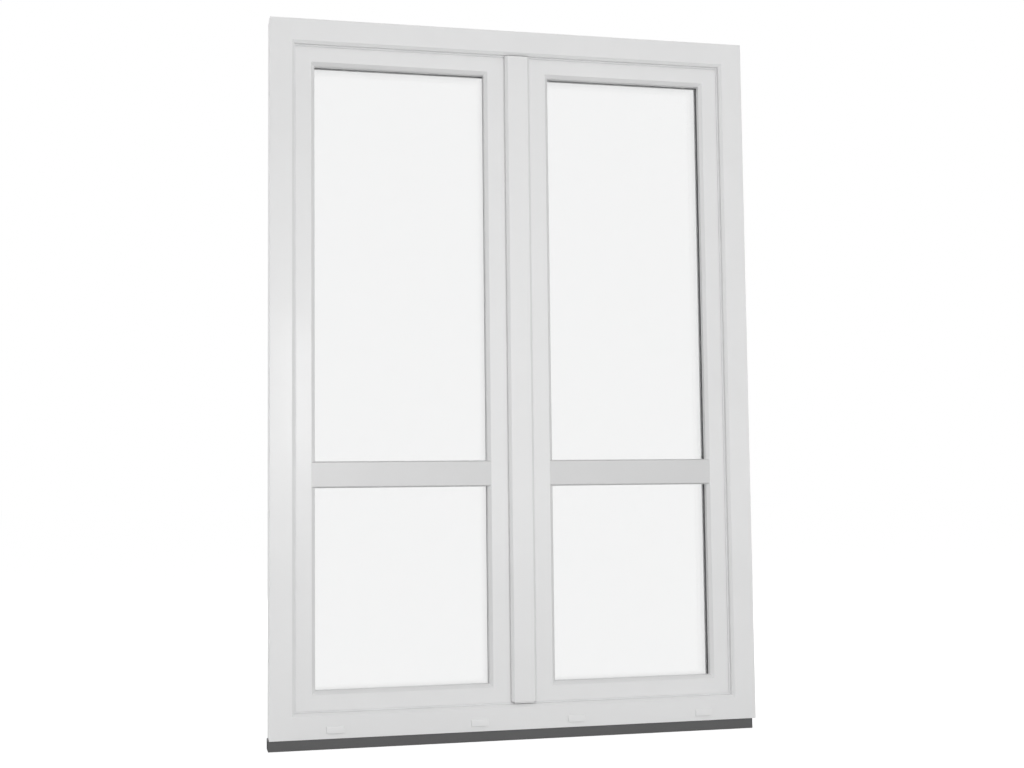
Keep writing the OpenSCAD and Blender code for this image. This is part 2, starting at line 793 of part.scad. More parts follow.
// The cover strip has a slot with round ends for the travel of each cam
module lock_faceplate() color(alu_grey) {
    slot_r = cam_r + rail_play;
    cut_x = edge_x - faceplate_t - over;
    at_meeting() difference() {
        block([edge_x - faceplate_t, case_t0 + rail_play, leaf_low_z + faceplate_end],
            [edge_x, case_t1 - rail_play, leaf_high_z - faceplate_end]);
        for (z = cam_z) {
            z0 = z - rail_play;
            z1 = z + rail_travel + rail_play;
            block([cut_x, groove_t - slot_r, z0], [edge_x + over, groove_t + slot_r, z1]);
            for (end = [z0, z1]) rod_x([cut_x, groove_t, end], slot_r, faceplate_t + 2 * over);
        }
    }
}

/* Handle */
module handle_rose() color(white_pvc) {
    at_meeting() translate([lock_x, leaf_t1 + rose_t / 2, handle_z]) difference() {
        stadium(rose_w, rose_h, rose_t);
        rod_y([0, -rose_t, 0], neck_r + 0.5, 2 * rose_t);
        for (s = [-1, 1]) {
            rod_y([0, -rose_t, s * screw_dz], screw_r, 2 * rose_t);
            rod_y([0, rose_t / 2 - screw_sink, s * screw_dz], screw_head_r + 0.2, rose_t);
        }
    }
}
module rose_screws() color(steel_grey) {
    at_meeting() for (s = [-1, 1]) {
        head_t = leaf_t1 + rose_t - screw_sink;
        rod_y([lock_x, case_t1 - screw_in, handle_z + s * screw_dz], screw_r, head_t - case_t1 + screw_in);
        rod_y([lock_x, head_t, handle_z + s * screw_dz], screw_head_r, screw_head_t);
    }
}
// Lever at rest: turned to open, with the grip across the leaf
module handle_lever() color(white_pvc) {
    at_meeting() translate([lock_x, leaf_t1, handle_z]) difference() {
        union() {
            rod_y([0, over, 0], neck_r, neck_len - over);
            translate([-(grip_len - grip_w / 2) / 2, neck_len, 0]) rotate([0, 90, 0])
                stadium(grip_w, grip_len + grip_w / 2, grip_t);
        }
        translate([-spindle_w / 2 - running, 0, -spindle_w / 2 - running])
            cube([spindle_w + 2 * running, spindle_in + over, spindle_w + 2 * running]);
    }
}
module handle_spindle() color(steel_grey) {
    at_meeting() translate([lock_x - spindle_w / 2, case_t0, handle_z - spindle_w / 2])
        cube([spindle_w, leaf_t1 + spindle_in - case_t0, spindle_w]);
}

/* Floating mullion on the passive leaf */
module mullion_strip_section() {
    half = strip_w / 2;
    difference() {
        polygon([
            [-half, strip_back + lip_chamfer], [-half + lip_chamfer, strip_back],
            [half - lip_chamfer, strip_back], [half, strip_back + lip_chamfer],
            [half, lip_t], [mull_x1, lip_t], [mull_x1, leaf_t0],
            [mull_x0, leaf_t0], [mull_x0, lip_t], [-half, lip_t]
        ]);
        area([-half + lip_chamfer, strip_back + wall], [half - lip_chamfer, lip_t - wall]);
    }
}
module mullion_body_section() {
    difference() {
        union() {
            area([mull_x0, leaf_t0], [mull_x1, frame_d]);
            area([nib_x0, frame_d], [nib_x1, nib_t]);
        }
        area([mull_x0 + wall, leaf_t0 + wall], [mull_x1 - wall, steel_c1]);
        area([bolt_x + guide_w / 2 + wall, steel_c1 + wall], [mull_x1 - wall, frame_d - wall]);
        area([nib_x0 + web, frame_d], [nib_x1 - web, nib_t - web]);
    }
}
module meeting_mullion() color(white_pvc) {
    at_meeting() difference() {
        union() {
            translate([0, 0, strip_low_z])
                linear_extrude(strip_high_z - strip_low_z) mullion_strip_section();
            translate([0, 0, leaf_low_z + end_cap_t])
                linear_extrude(leaf_high_z - leaf_low_z - 2 * end_cap_t) mullion_body_section();
        }
        for (z = [guide_low_z, guide_high_z])
            block([mull_x0 - over, groove_t - guide_w / 2, z - over],
                [bolt_x + guide_w / 2, groove_t + guide_w / 2, z + guide_len + over]);
    }
}
// Caps on the mullion's body, and a plug in each end of the hollow strip
module mullion_end_caps() color(white_pvc) {
    half = strip_w / 2 - lip_chamfer - plug_play;
    at_meeting() {
        for (z = [leaf_low_z, leaf_high_z - end_cap_t]) difference() {
            block([mull_x0, leaf_t0, z], [mull_x1, frame_d, z + end_cap_t]);
            rod_z([bolt_x, groove_t, z - over], bolt_r + bolt_hole_play, end_cap_t + 2 * over);
        }
        for (z = [
            [base_h + frame_face + plug_gap, strip_low_z + plug_in],
            [strip_high_z - plug_in, base_h + win_h - frame_face - plug_gap]
        ])
            block([-half, strip_back + lip_chamfer, z[0]], [half, lip_t - wall - plug_play, z[1]]);
    }
}
module mullion_seals() color(seal_grey) {
    at_meeting() for (s = [-1, 1]) {
        x = s * (strip_w / 2 - strip_seal_w);
        block([x - strip_seal_w / 2, lip_t, strip_low_z],
            [x + strip_seal_w / 2, leaf_t0 - (s < 0 ? seal_play : 0), strip_high_z]);
    }
}
// Each keep has a base on the mullion and a wall that the cam slides in front of
module lock_keeps() color(alu_grey) {
    wall_t = groove_t + cam_head_r + rail_play;
    for (z = cam_z) at_meeting() translate([mull_x0, 0, z + keep_start]) difference() {
        union() {
            block([-keep_base_t, case_t0, 0], [0, case_t1 + 1, keep_base_len]);
            block([-keep_out, wall_t, 0], [0, wall_t + keep_wall_t, keep_wall_len]);
        }
        rod_x([-keep_base_t - over, groove_t, keep_base_len - 8], keep_hole_r, keep_base_t + 2 * over);
    }
}

/* Edge bolts of the passive leaf */
// A guide has a bore for the bolt and a slot for its thumb piece
module guide(z) {
    slot_half = knob_w / 2 + rail_play;
    difference() {
        block([mull_x0, groove_t - guide_w / 2, z],
            [bolt_x + guide_w / 2, groove_t + guide_w / 2, z + guide_len]);
        rod_z([bolt_x, groove_t, z - over], bolt_r + running, guide_len + 2 * over);
        block([mull_x0 - over, groove_t - slot_half, z + knob_start],
            [bolt_x, groove_t + slot_half, z + knob_start + bolt_travel + knob_len + 4]);
    }
}
module bolt_guides() color(alu_grey) {
    at_meeting() for (z = [guide_low_z, guide_high_z]) guide(z);
}
// A bolt from z0 up, with its thumb piece from z1 up
module edge_bolt(z0, z1) color(steel_grey) {
    at_meeting() {
        rod_z([bolt_x, groove_t, z0], bolt_r, bolt_len);
        block([mull_x0 - knob_out, groove_t - knob_w / 2, z1],
            [bolt_x, groove_t + knob_w / 2, z1 + knob_len]);
    }
}
module lower_bolt() edge_bolt(leaf_low_z + bolt_set, guide_low_z + knob_start + bolt_travel + 2);
module upper_bolt() edge_bolt(leaf_high_z - bolt_set - bolt_len, guide_high_z + knob_start + 2);

frame_head();
frame_sill();
frame_left_jamb();
frame_right_jamb();
frame_steel();
frame_seal();
base_profile();
drain_caps();
left_upper_hinge_base();
left_lower_hinge_base();
right_upper_hinge_base();
right_lower_hinge_base();
hinge_pins();
bolt_keeps();
active_foot_rail();
active_head_rail();
active_hinge_stile();
active_lock_stile();
active_cross_bar();
active_steel();
active_upper_glass();
active_lower_glass();
active_spacers();
active_beads();
active_glass_seals();
active_overlap_seal();
active_setting_blocks();
active_upper_hinge_leaf();
active_lower_hinge_leaf();
lock_faceplate();
lock_case();
handle_rose();
rose_screws();
handle_lever();
handle_spindle();
lock_pinion();
lock_rail();
lock_cams();
passive_foot_rail();
passive_head_rail();
passive_hinge_stile();
passive_meeting_stile();
passive_cross_bar();
passive_steel();
passive_upper_glass();
passive_lower_glass();
passive_spacers();
passive_beads();
passive_glass_seals();
passive_overlap_seal();
passive_setting_blocks();
passive_upper_hinge_leaf();
passive_lower_hinge_leaf();
meeting_mullion();
mullion_end_caps();
mullion_seals();
lock_keeps();
bolt_guides();
upper_bolt();
lower_bolt();
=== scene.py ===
"""Looks of a double casement window in white uPVC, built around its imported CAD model.

The file is laid out as an add-on: sizes and colours are properties, every piece or group of like
pieces has an operator, and a panel in the sidebar lists them. Run as a script, it builds them all.
Lengths are in metres, X runs along the width, Y points into the room and Z is up.
"""

import math

import bmesh
import bpy
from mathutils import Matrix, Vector


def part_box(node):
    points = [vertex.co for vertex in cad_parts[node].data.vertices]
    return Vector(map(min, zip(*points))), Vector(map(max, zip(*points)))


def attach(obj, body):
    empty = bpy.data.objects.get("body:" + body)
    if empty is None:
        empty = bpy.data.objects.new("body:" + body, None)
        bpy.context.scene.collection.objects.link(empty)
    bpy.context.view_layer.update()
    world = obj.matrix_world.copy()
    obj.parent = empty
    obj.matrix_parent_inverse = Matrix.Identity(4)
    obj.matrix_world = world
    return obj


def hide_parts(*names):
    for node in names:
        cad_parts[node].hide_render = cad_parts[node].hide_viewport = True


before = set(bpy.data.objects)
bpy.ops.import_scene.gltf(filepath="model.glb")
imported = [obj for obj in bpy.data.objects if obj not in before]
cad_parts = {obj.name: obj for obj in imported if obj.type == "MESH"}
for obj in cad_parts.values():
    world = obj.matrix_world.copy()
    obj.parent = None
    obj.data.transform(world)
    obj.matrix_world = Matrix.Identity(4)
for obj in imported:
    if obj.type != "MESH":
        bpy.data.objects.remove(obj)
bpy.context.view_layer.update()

bl_info = {
    "name": "Double Casement Window",
    "version": (1, 0, 0),
    "blender": (4, 5, 0),
    "location": "View3D > Sidebar > Window",
    "description": "Builds the visible pieces, finishes and studio of a two-leaf uPVC window",
    "category": "Object",
}

LEAVES = ("active", "passive")
FRAME_MEMBERS = ("frame_head", "frame_sill", "frame_left_jamb", "frame_right_jamb")
LEVEL_MEMBERS = ("foot_rail", "head_rail")
STEEL_NODES = ("frame_steel", "active_steel", "passive_steel", "hinge_pins", "lock_case",
               "handle_spindle", "lock_pinion", "lock_cams", "upper_bolt", "lower_bolt")
ZINC_NODES = ("bolt_keeps", "lock_faceplate", "lock_rail", "lock_keeps", "bolt_guides")
CLOSE_NODES = ("bolt_guides",)  # the bolts run so close in them that their edges stay sharp

WELD_GAP = 0.00001  # vertices of a CAD mesh that lie closer are one vertex
FLAT_ANGLE = math.radians(0.6)  # faces that meet flatter than this are one face
EDGE_ANGLE = math.radians(28)  # edges that turn more than this are rounded
LONG_EDGE = 0.1  # shortest edge that counts as running along a profile
SEAL_STEPS = 4  # facets of a seal's rounded corner
SCREW_FACETS = 24
FLOOR_HALF = 60.0
FLOOR_THICK = 0.02

# Name, setting with its power, place, aim, width and height. The strip lamp is the only one that
# gloss shows, as a soft highlight on the left jamb. Further right, the left panes would mirror it.
LAMPS = (
    ("Key lamp", "key", (0.15, -6.0, 1.6), (0.0, 0.0, 1.0), 3.0, 2.6),
    ("Top lamp", "top", (0.1, -3.2, 4.4), (0.0, 0.0, 0.9), 3.0, 2.0),
    ("Low lamp", "low", (0.2, -4.5, 0.4), (0.0, 0.0, 1.1), 2.4, 0.6),
    ("Strip lamp", "strip", (-0.31, -4.25, 1.3), (-0.4, 0.0, 1.0), 0.16, 0.8),
    ("Left fill", "fill", (-3.8, -0.6, 1.2), (0.0, 0.0, 1.1), 2.0, 2.0),
    ("Right fill", "fill", (3.8, -0.6, 1.2), (0.0, 0.0, 1.1), 2.0, 2.0),
    ("Side lamp", "side", (-2.3, 0.9, 2.3), (-0.73, 0.0, 1.6), 0.9, 0.9),
    ("Room lamp", "room", (-0.8, 5.5, 2.6), (0.0, 0.0, 1.05), 3.0, 2.6),
)
MIRRORED_LAMP = "Strip lamp"


def length(label, text, default):
    """A length property in metres."""
    return bpy.props.FloatProperty(name=label, description=text, default=default, precision=5,
                                   subtype="DISTANCE", unit="LENGTH")


def colour(label, text, default):
    """A colour property with linear red, green and blue."""
    return bpy.props.FloatVectorProperty(name=label, description=text, default=default,
                                         subtype="COLOR", size=3, min=0.0, max=1.0)


def share(label, text, default, top=1.0):
    """A plain number from 0 to top."""
    return bpy.props.FloatProperty(name=label, description=text, default=default, min=0.0,
                                   max=top, precision=3)


def power(label, text, default):
    """A lamp's power in watts."""
    return bpy.props.FloatProperty(name=label, description=text, default=default, unit="POWER")


def turn(label, text, degrees):
    """An angle property, given in degrees."""
    return bpy.props.FloatProperty(name=label, description=text, default=math.radians(degrees),
                                   subtype="ANGLE")


# ---------------------------------------------------------------------------------------------
# Sizes, colours and studio as properties


class ShapeSettings(bpy.types.PropertyGroup):
    """Radii and small forms that the CAD model leaves sharp."""

    profile_radius: length("Profile radius", "Radius along the edges of the uPVC profiles", 0.0008)
    bead_radius: length("Bead radius", "Radius along the edges of the glazing beads", 0.0008)
    metal_radius: length("Metal radius", "Broken edge of pressed and milled hardware", 0.0003)
    cap_radius: length("Cap radius", "Radius of the drainage caps' edges", 0.0009)
    rose_radius: length("Rose radius", "Radius along the edges of the handle's rose", 0.0016)
    hinge_radius: length("Hinge radius", "Radius along the edges of the hinges", 0.0009)
    pane_edge: length("Pane edge", "Ground edge of the glass", 0.0004)
    seal_bulb: length("Seal bulb", "Radius of the seals' rounded lips", 0.0016)
    seal_width: length("Weather seal", "Width of the overlap seals", 0.005)
    lip_seal: length("Lip seal", "Width of the frame's seal, nearly up to the lip's edge", 0.0105)
    strip_seal: length("Strip seal", "Set-back of the mullion's seals from the strip's edges, and "
                       "of the frame's seal from the mullion", 0.0005)
    glazing_seal: length("Glazing seal", "Width of the seals on both sides of the glass", 0.009)
    spacer_height: length("Spacer height", "Height of the spacer bars", 0.006)
    seal_air: length("Seal air", "Air between the bead seals' face and the glass", 0.0002)
    grip_taper: share("Grip taper", "Width of the grip's tip as a share of its root", 0.86)
    screw_head: length("Screw head", "Radius of the hinge screws' heads", 0.0039)
    barrel_radius: length("Barrel radius", "Outer radius of the hinge barrels", 0.009)
    flap_plate: length("Flap plate", "Thickness of the hinge plate on the leaf", 0.002)
    base_plate: length("Base plate", "Thickness of the hinge plate on the frame", 0.0025)


class FinishSettings(bpy.types.PropertyGroup):
    """Colours and gloss of the finishes."""

    pvc: colour("White uPVC", "Colour of the frame and the leaves", (0.74, 0.741, 0.742))
    bar: colour("Cross bar", "Colour of the two cross bars", (0.617, 0.618, 0.619))
    seal: colour("Seals", "Colour of the weather and outer glazing seals", (0.71, 0.712, 0.716))
    light_seal: colour("Bead seals", "Colour of the seals on the glazing beads",
                       (0.8, 0.802, 0.806))
    base: colour("Base profile", "Colour of the recycled profile under the frame",
                 (0.081, 0.081, 0.082))
    glass: colour("Glass", "What one pane lets through", (0.966, 0.967, 0.967))
    spacer: colour("Spacers", "Colour of the warm-edge spacers", (0.075, 0.076, 0.08))
    block: colour("Setting blocks", "Colour of the moulded glazing blocks", (0.04, 0.09, 0.16))
    steel: colour("Steel", "Colour of the zinc-plated steel", (0.58, 0.59, 0.6))
    zinc: colour("Hardware", "Colour of the satin silver hardware", (0.68, 0.69, 0.7))
    coat: colour("Powder coat", "Colour of the handle and hinges", (0.78, 0.782, 0.786))
    pvc_gloss: share("uPVC roughness", "Roughness of the extruded surface", 0.3)
    coat_gloss: share("Coat roughness", "Roughness of the powder coat", 0.34)


class StudioSettings(bpy.types.PropertyGroup):
    """Camera, lamps, floor and backdrop."""

    eye: bpy.props.FloatVectorProperty(name="Camera", description="Place of the camera",
                                       default=(-0.9732, -4.1846, 0.7197), subtype="TRANSLATION",
                                       unit="LENGTH", size=3)
    tilt: turn("Tilt", "Tilt of the camera from straight down", 94.2494)
    roll: turn("Roll", "Roll of the camera", 0.6562)
    heading: turn("Heading", "Turn of the camera about Z", -12.9364)
    lens: bpy.props.FloatProperty(name="Lens", description="Focal length in millimetres",
                                  default=50.785, unit="CAMERA")
    sky: share("Sky", "Strength of the room's even light", 0.45, 4.0)
    key: power("Key lamp", "Power of the large soft lamp", 92.0)
    top: power("Top lamp", "Power of the soft lamp overhead", 16.0)
    low: power("Low lamp", "Power of the soft lamp near the floor", 33.0)
    strip: power("Strip lamp", "Power of the upright soft lamp", 11.0)
    fill: power("Fill lamps", "Power of the lamp on each side", 8.0)
    side: power("Side lamp", "Power of the lamp on the left", 8.0)
    room: power("Room lamp", "Power of the lamp in the room", 120.0)
    floor: colour("Floor", "Colour of the floor", (0.62, 0.62, 0.62))
    floor_lift: share("Floor lift", "White that the camera sees on top of the lit floor", 0.72)


# ---------------------------------------------------------------------------------------------
# Shader maths


class Field:
    """A node's output socket that takes part in arithmetic, so that maths reads as maths."""

    def __init__(self, finish, socket):
        self.finish = finish
        self.socket = socket

    def math(self, operation, *values):
        sockets = {i: v for i, v in enumerate((self, *values))}
        return self.finish.add("ShaderNodeMath", {"operation": operation}, sockets)

    def __add__(self, other):
        return self.math("ADD", other)

    __radd__ = __add__

    def __mul__(self, other):
        return self.math("MULTIPLY", other)

    __rmul__ = __mul__

    def __sub__(self, other):
        return self.math("SUBTRACT", other)

    def __rsub__(self, other):
        return (self * -1.0) + other

    def above(self, edge, width):
        """0 below edge, 1 above edge + width, and a straight rise between them."""
        return self.finish.add("ShaderNodeMapRange", {"clamp": True}, {
            "Value": self, "From Min": edge, "From Max": edge + width})


class Finish:
    """A material, or the world, whose nodes are added by one method."""

    def __init__(self, owner):
        owner.use_nodes = True
        self.owner = owner
        self.tree = owner.node_tree
        self.tree.nodes.clear()

    @classmethod
    def named(cls, name):
        return cls(bpy.data.materials.new(name))

    def add(self, kind, settings=None, sockets=None, output=0):
        """Adds one node: its settings first, then the values or links of its sockets."""
        node = self.tree.nodes.new(kind)
        for key, value in (settings or {}).items():
            setattr(node, key, value)
        for key, value in (sockets or {}).items():
            if isinstance(value, Field):
                self.tree.links.new(value.socket, node.inputs[key])
            elif hasattr(node.inputs[key].default_value, "__len__") and len(
                    node.inputs[key].default_value) == 4 and len(value) == 3:
                node.inputs[key].default_value = (*value, 1.0)
            else:
                node.inputs[key].default_value = value
        return Field(self, node.outputs[output]) if node.outputs else None

    def place(self, stretch=(1.0, 1.0, 1.0)):
        """Coordinates in metres that stay with the piece, stretched along each axis."""
        at = self.add("ShaderNodeTexCoord", output=3)
        return self.add("ShaderNodeMapping", None, {"Vector": at, "Scale": stretch})

    def noise(self, scale, detail=3.0, rough=0.5, stretch=(1.0, 1.0, 1.0)):
        return self.add("ShaderNodeTexNoise", None, {
            "Vector": self.place(stretch), "Scale": scale, "Detail": detail, "Roughness": rough})

    def tint(self, base, other, mask):
        """A colour between base and other by mask."""
        return self.add("ShaderNodeMix", {"data_type": "RGBA"}, {0: mask, 6: base, 7: other}, 2)

    def seen_by(self):
        """The outputs that tell which kind of ray asks, by name."""
        path = self.add("ShaderNodeLightPath")
        return {out.name: Field(self, out) for out in path.socket.node.outputs}

    def bump(self, height, depth, strength):
        return self.add("ShaderNodeBump", None, {
            "Height": height, "Distance": depth, "Strength": strength})

    def surface(self, shader):
        self.add("ShaderNodeOutputMaterial", None, {"Surface": shader})
        return self.owner


def scaled(tone, factor):
    """A colour made lighter or darker."""
    return tuple(min(1.0, c * factor) for c in tone)


def pvc_finish(name, tone, gloss, along):
    """Extruded uPVC: faint die lines along the profile, a trace of orange peel and dust."""
    f = Finish.named(name)
    lines = [90.0, 90.0, 90.0]
    lines[along] = 0.6
    die = f.noise(9.0, 2.0, 0.6, tuple(lines))
    peel = f.noise(420.0, 2.0, 0.55)
    cloud = f.noise(3.2, 4.0, 0.6)
    dust = f.noise(38.0, 5.0, 0.65).above(0.62, 0.2)
    colour_field = f.tint(scaled(tone, 0.985), scaled(tone, 1.012), cloud.above(0.35, 0.3))
    colour_field = f.tint(colour_field, scaled(tone, 0.955), dust * 0.3)
    rough = gloss + (die - 0.5) * 0.1 + dust * 0.08
    height = die * 0.5 + peel * 0.5
    return f.surface(f.add("ShaderNodeBsdfPrincipled", None, {
        "Base Color": colour_field, "Roughness": rough, "IOR": 1.52,
        "Normal": f.bump(height, 0.00006, 0.35), "Coat Weight": 0.08, "Coat Roughness": 0.12}))


def coat_finish(name, tone, gloss):
    """Powder coat: a close, soft texture with a satin gloss."""
    f = Finish.named(name)
    peel = f.noise(1500.0, 2.0, 0.5)
    cloud = f.noise(9.0, 3.0, 0.55)
    tone_field = f.tint(scaled(tone, 0.98), scaled(tone, 1.015), cloud)
    return f.surface(f.add("ShaderNodeBsdfPrincipled", None, {
        "Base Color": tone_field, "Roughness": gloss + (peel - 0.5) * 0.12,
        "Normal": f.bump(peel, 0.00003, 0.4)}))


def rubber_finish(name, tone):
    """Soft grey sealing rubber with a dull, slightly dusty face."""
    f = Finish.named(name)
    grain = f.noise(900.0, 3.0, 0.6)
    cloud = f.noise(14.0, 4.0, 0.6)
    tone_field = f.tint(scaled(tone, 0.88), scaled(tone, 1.1), cloud)
    return f.surface(f.add("ShaderNodeBsdfPrincipled", None, {
        "Base Color": tone_field, "Roughness": 0.62 + (grain - 0.5) * 0.2,
        "Normal": f.bump(grain, 0.00005, 0.5)}))


def recycled_finish(name, tone):
    """Dark recycled uPVC: dull, with pale and dark flecks, scuffs and lines from the die."""
    f = Finish.named(name)
    die = f.noise(7.0, 3.0, 0.6, (0.5, 120.0, 120.0))
    fleck = f.noise(620.0, 2.0, 0.7).above(0.6, 0.08)
    cloud = f.noise(6.0, 5.0, 0.62)
    scuff = f.noise(30.0, 6.0, 0.7, (0.35, 1.0, 1.6)).above(0.6, 0.16)
    tone_field = f.tint(scaled(tone, 0.84), scaled(tone, 1.16), cloud)
    tone_field = f.tint(tone_field, scaled(tone, 1.5), fleck * 0.35)
    tone_field = f.tint(tone_field, scaled(tone, 1.75), scuff * 0.3)
    return f.surface(f.add("ShaderNodeBsdfPrincipled", None, {
        "Base Color": tone_field, "Roughness": 0.5 + (cloud - 0.5) * 0.14 + scuff * 0.12,
        "Normal": f.bump(die * 0.7 + fleck * 0.3, 0.00012, 0.5)}))


def moulded_finish(name, tone, rough):
    """Matt moulded plastic with a fine eroded texture."""
    f = Finish.named(name)
    grain = f.noise(1300.0, 3.0, 0.6)
    cloud = f.noise(18.0, 3.0, 0.6)
    return f.surface(f.add("ShaderNodeBsdfPrincipled", None, {
        "Base Color": f.tint(scaled(tone, 0.9), scaled(tone, 1.12), cloud),
        "Roughness": rough + (grain - 0.5) * 0.15, "Normal": f.bump(grain, 0.00005, 0.5)}))


def metal_finish(name, tone, rough, along):
    """Plated or brushed metal: lines along the part and a cloudy passivation."""
    f = Finish.named(name)
    lines = [240.0, 240.0, 240.0]
    lines[along] = 5.0
    brushed = f.noise(6.0, 3.0, 0.65, tuple(lines))
    cloud = f.noise(26.0, 4.0, 0.6)
    tone_field = f.tint(scaled(tone, 0.86), scaled(tone, 1.08), cloud)
    return f.surface(f.add("ShaderNodeBsdfPrincipled", None, {
        "Base Color": tone_field, "Metallic": 1.0,
        "Roughness": rough + (brushed - 0.5) * 0.18 + (cloud - 0.5) * 0.08,
        "Normal": f.bump(brushed, 0.00004, 0.35)}))


def glass_finish(name, tone):
    """Clear float glass that lets the lamps reach what stands behind it."""
    f = Finish.named(name)
    wave = f.noise(1.6, 2.0, 0.4)
    solid = f.add("ShaderNodeBsdfPrincipled", None, {
        "Base Color": tone, "Roughness": 0.0, "IOR": 1.5, "Transmission Weight": 1.0,
        "Normal": f.bump(wave, 0.0004, 0.2)})
    clear = f.add("ShaderNodeBsdfTransparent", None, {"Color": tone})
    shadow = f.seen_by()["Is Shadow Ray"]
    return f.surface(f.add("ShaderNodeMixShader", None, {0: shadow, 1: solid, 2: clear}))


def floor_finish(name, tone, lift):
    """A plain pale floor. The camera sees it lit and lifted to white, so that it keeps the
    window's shadow, and gloss and glass see it plain white."""
    f = Finish.named(name)
    lit = f.add("ShaderNodeBsdfDiffuse", None, {"Color": tone})
    seen = f.seen_by()
    raised = f.add("ShaderNodeEmission", None, {
        "Color": (1.0, 1.0, 1.0), "Strength": seen["Is Camera Ray"] * lift})
    white = f.add("ShaderNodeEmission", None, {"Color": (1.0, 1.0, 1.0), "Strength": 1.0})
    mirrored = seen["Is Glossy Ray"].math("MAXIMUM", seen["Is Transmission Ray"])
    shown = f.add("ShaderNodeAddShader", None, {0: lit, 1: raised})
    return f.surface(f.add("ShaderNodeMixShader", None, {0: mirrored, 1: shown, 2: white}))


RECIPES = {
    "pvc_upright": lambda c: pvc_finish("uPVC white, upright", c.pvc, c.pvc_gloss, 2),
    "pvc_level": lambda c: pvc_finish("uPVC white, level", c.pvc, c.pvc_gloss, 0),
    "bar": lambda c: pvc_finish("uPVC white, cross bar", c.bar, c.pvc_gloss, 0),
    "seal": lambda c: rubber_finish("Grey seal", c.seal),
    "light_seal": lambda c: rubber_finish("Pale bead seal", c.light_seal),
    "base": lambda c: recycled_finish("Recycled uPVC, dark grey", c.base),
    "glass": lambda c: glass_finish("Float glass", c.glass),
    "spacer": lambda c: moulded_finish("Warm-edge spacer", c.spacer, 0.5),
    "block": lambda c: moulded_finish("Glazing block", c.block, 0.55),
    "steel": lambda c: metal_finish("Zinc-plated steel", c.steel, 0.36, 2),
    "zinc": lambda c: metal_finish("Satin silver hardware", c.zinc, 0.3, 2),
    "coat": lambda c: coat_finish("White powder coat", c.coat, c.coat_gloss),
}


MADE = {}


def finish_named(key):
    """The material of one finish, made the first time it is asked for."""
    if key not in MADE:
        MADE[key] = RECIPES[key](bpy.context.scene.window_finish)
    return MADE[key]


# ---------------------------------------------------------------------------------------------
# Mesh helpers


def paint(obj, key):
    """Gives every slot of an object one finish."""
    if not obj.data.materials:
        obj.data.materials.append(finish_named(key))
    for i in range(len(obj.data.materials)):
        obj.data.materials[i] = finish_named(key)


def paint_nodes(finish, *names):
    """Gives CAD nodes one finish."""
    for name in names:
        paint(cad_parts[name], finish)


def soften(name, radius, steps=2, along=None):
    """Rounds the sharp edges of a CAD node without moving its own mesh. With an axis, only the
    long edges along it are rounded, so that mitred members still meet in one line."""
    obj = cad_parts[name]
    mesh = obj.data
    for face in mesh.polygons:
        face.use_smooth = True
    if along is not None:
        weight = mesh.attributes.new("bevel_weight_edge", "FLOAT", "EDGE")
        for edge, mark in zip(mesh.edges, weight.data):
            a, b = (mesh.vertices[v].co for v in edge.vertices)
            run = b - a
            mark.value = 1.0 if abs(run[along]) > max(LONG_EDGE, 0.9999 * run.length) else 0.0
    weld = obj.modifiers.new("Weld", "WELD")
    weld.merge_threshold = WELD_GAP
    flat = obj.modifiers.new("Flat faces", "DECIMATE")
    flat.decimate_type = "DISSOLVE"
    flat.angle_limit = FLAT_ANGLE
    bevel = obj.modifiers.new("Edge radius", "BEVEL")
    bevel.width = radius
    bevel.segments = steps
    bevel.limit_method = "ANGLE" if along is None else "WEIGHT"
    bevel.angle_limit = EDGE_ANGLE
    bevel.use_clamp_overlap = False
    bevel.miter_outer = "MITER_ARC"
    even = obj.modifiers.new("Even shading", "WEIGHTED_NORMAL")
    even.weight = 90


def piece(name, bm, body, finish, replaces=(), sharp=35.0):
    """Turns a bmesh into a piece that rides on a CAD body, with edges sharp above an angle."""
    bmesh.ops.remove_doubles(bm, verts=bm.verts, dist=1e-7)
    bmesh.ops.recalc_face_normals(bm, faces=bm.faces)
    for face in bm.faces:
        face.smooth = True
    limit = math.radians(sharp)
    for edge in bm.edges:
        edge.smooth = len(edge.link_faces) == 2 and edge.calc_face_angle(0.0) < limit
    mesh = bpy.data.meshes.new(name)
    bm.to_mesh(mesh)
    bm.free()
    obj = bpy.data.objects.new(name, mesh)
    bpy.context.scene.collection.objects.link(obj)
    paint(obj, finish)
    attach(obj, body)
    if replaces:
        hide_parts(*replaces)
    return obj


def rounded(points, radius, steps):
    """A closed outline with its corners rounded."""
    out = []
    for i in range(len(points)):
        before, at, after = (Vector(points[(i + k) % len(points)]) for k in (-1, 0, 1))
        a, b = (before - at), (after - at)
        reach = min(radius / math.tan(a.angle(b) / 2), 0.49 * a.length, 0.49 * b.length)
        p, q = at + a.normalized() * reach, at + b.normalized() * reach
        for k in range(steps + 1):
            s = k / steps
            out.append(tuple(p * (1 - s) ** 2 + at * 2 * s * (1 - s) + q * s * s))
    return out


def turned(facets):
    """The angles of the corners of a regular outline."""
    return [2 * math.pi * k / facets for k in range(facets)]


def skin(bm, a, b):
    """Joins two closed rows of vertices by faces."""
    for i in range(len(a)):
        j = (i + 1) % len(a)
        bm.faces.new((a[i], a[j], b[j], b[i]))


def ring(bm, outer, section):
    """Sweeps a closed section round a rectangle with mitred corners. outer is the rectangle's
    low x, high x, low z and high z, and a section point is its distance inwards and its y."""
    x0, x1, z0, z1 = outer
    rows = []
    for inset, y in section:
        rows.append([bm.verts.new(v) for v in (
            (x0 + inset, y, z0 + inset), (x1 - inset, y, z0 + inset),
            (x1 - inset, y, z1 - inset), (x0 + inset, y, z1 - inset))])
    for a, b in zip(rows, rows[1:] + rows[:1]):
        skin(bm, a, b)


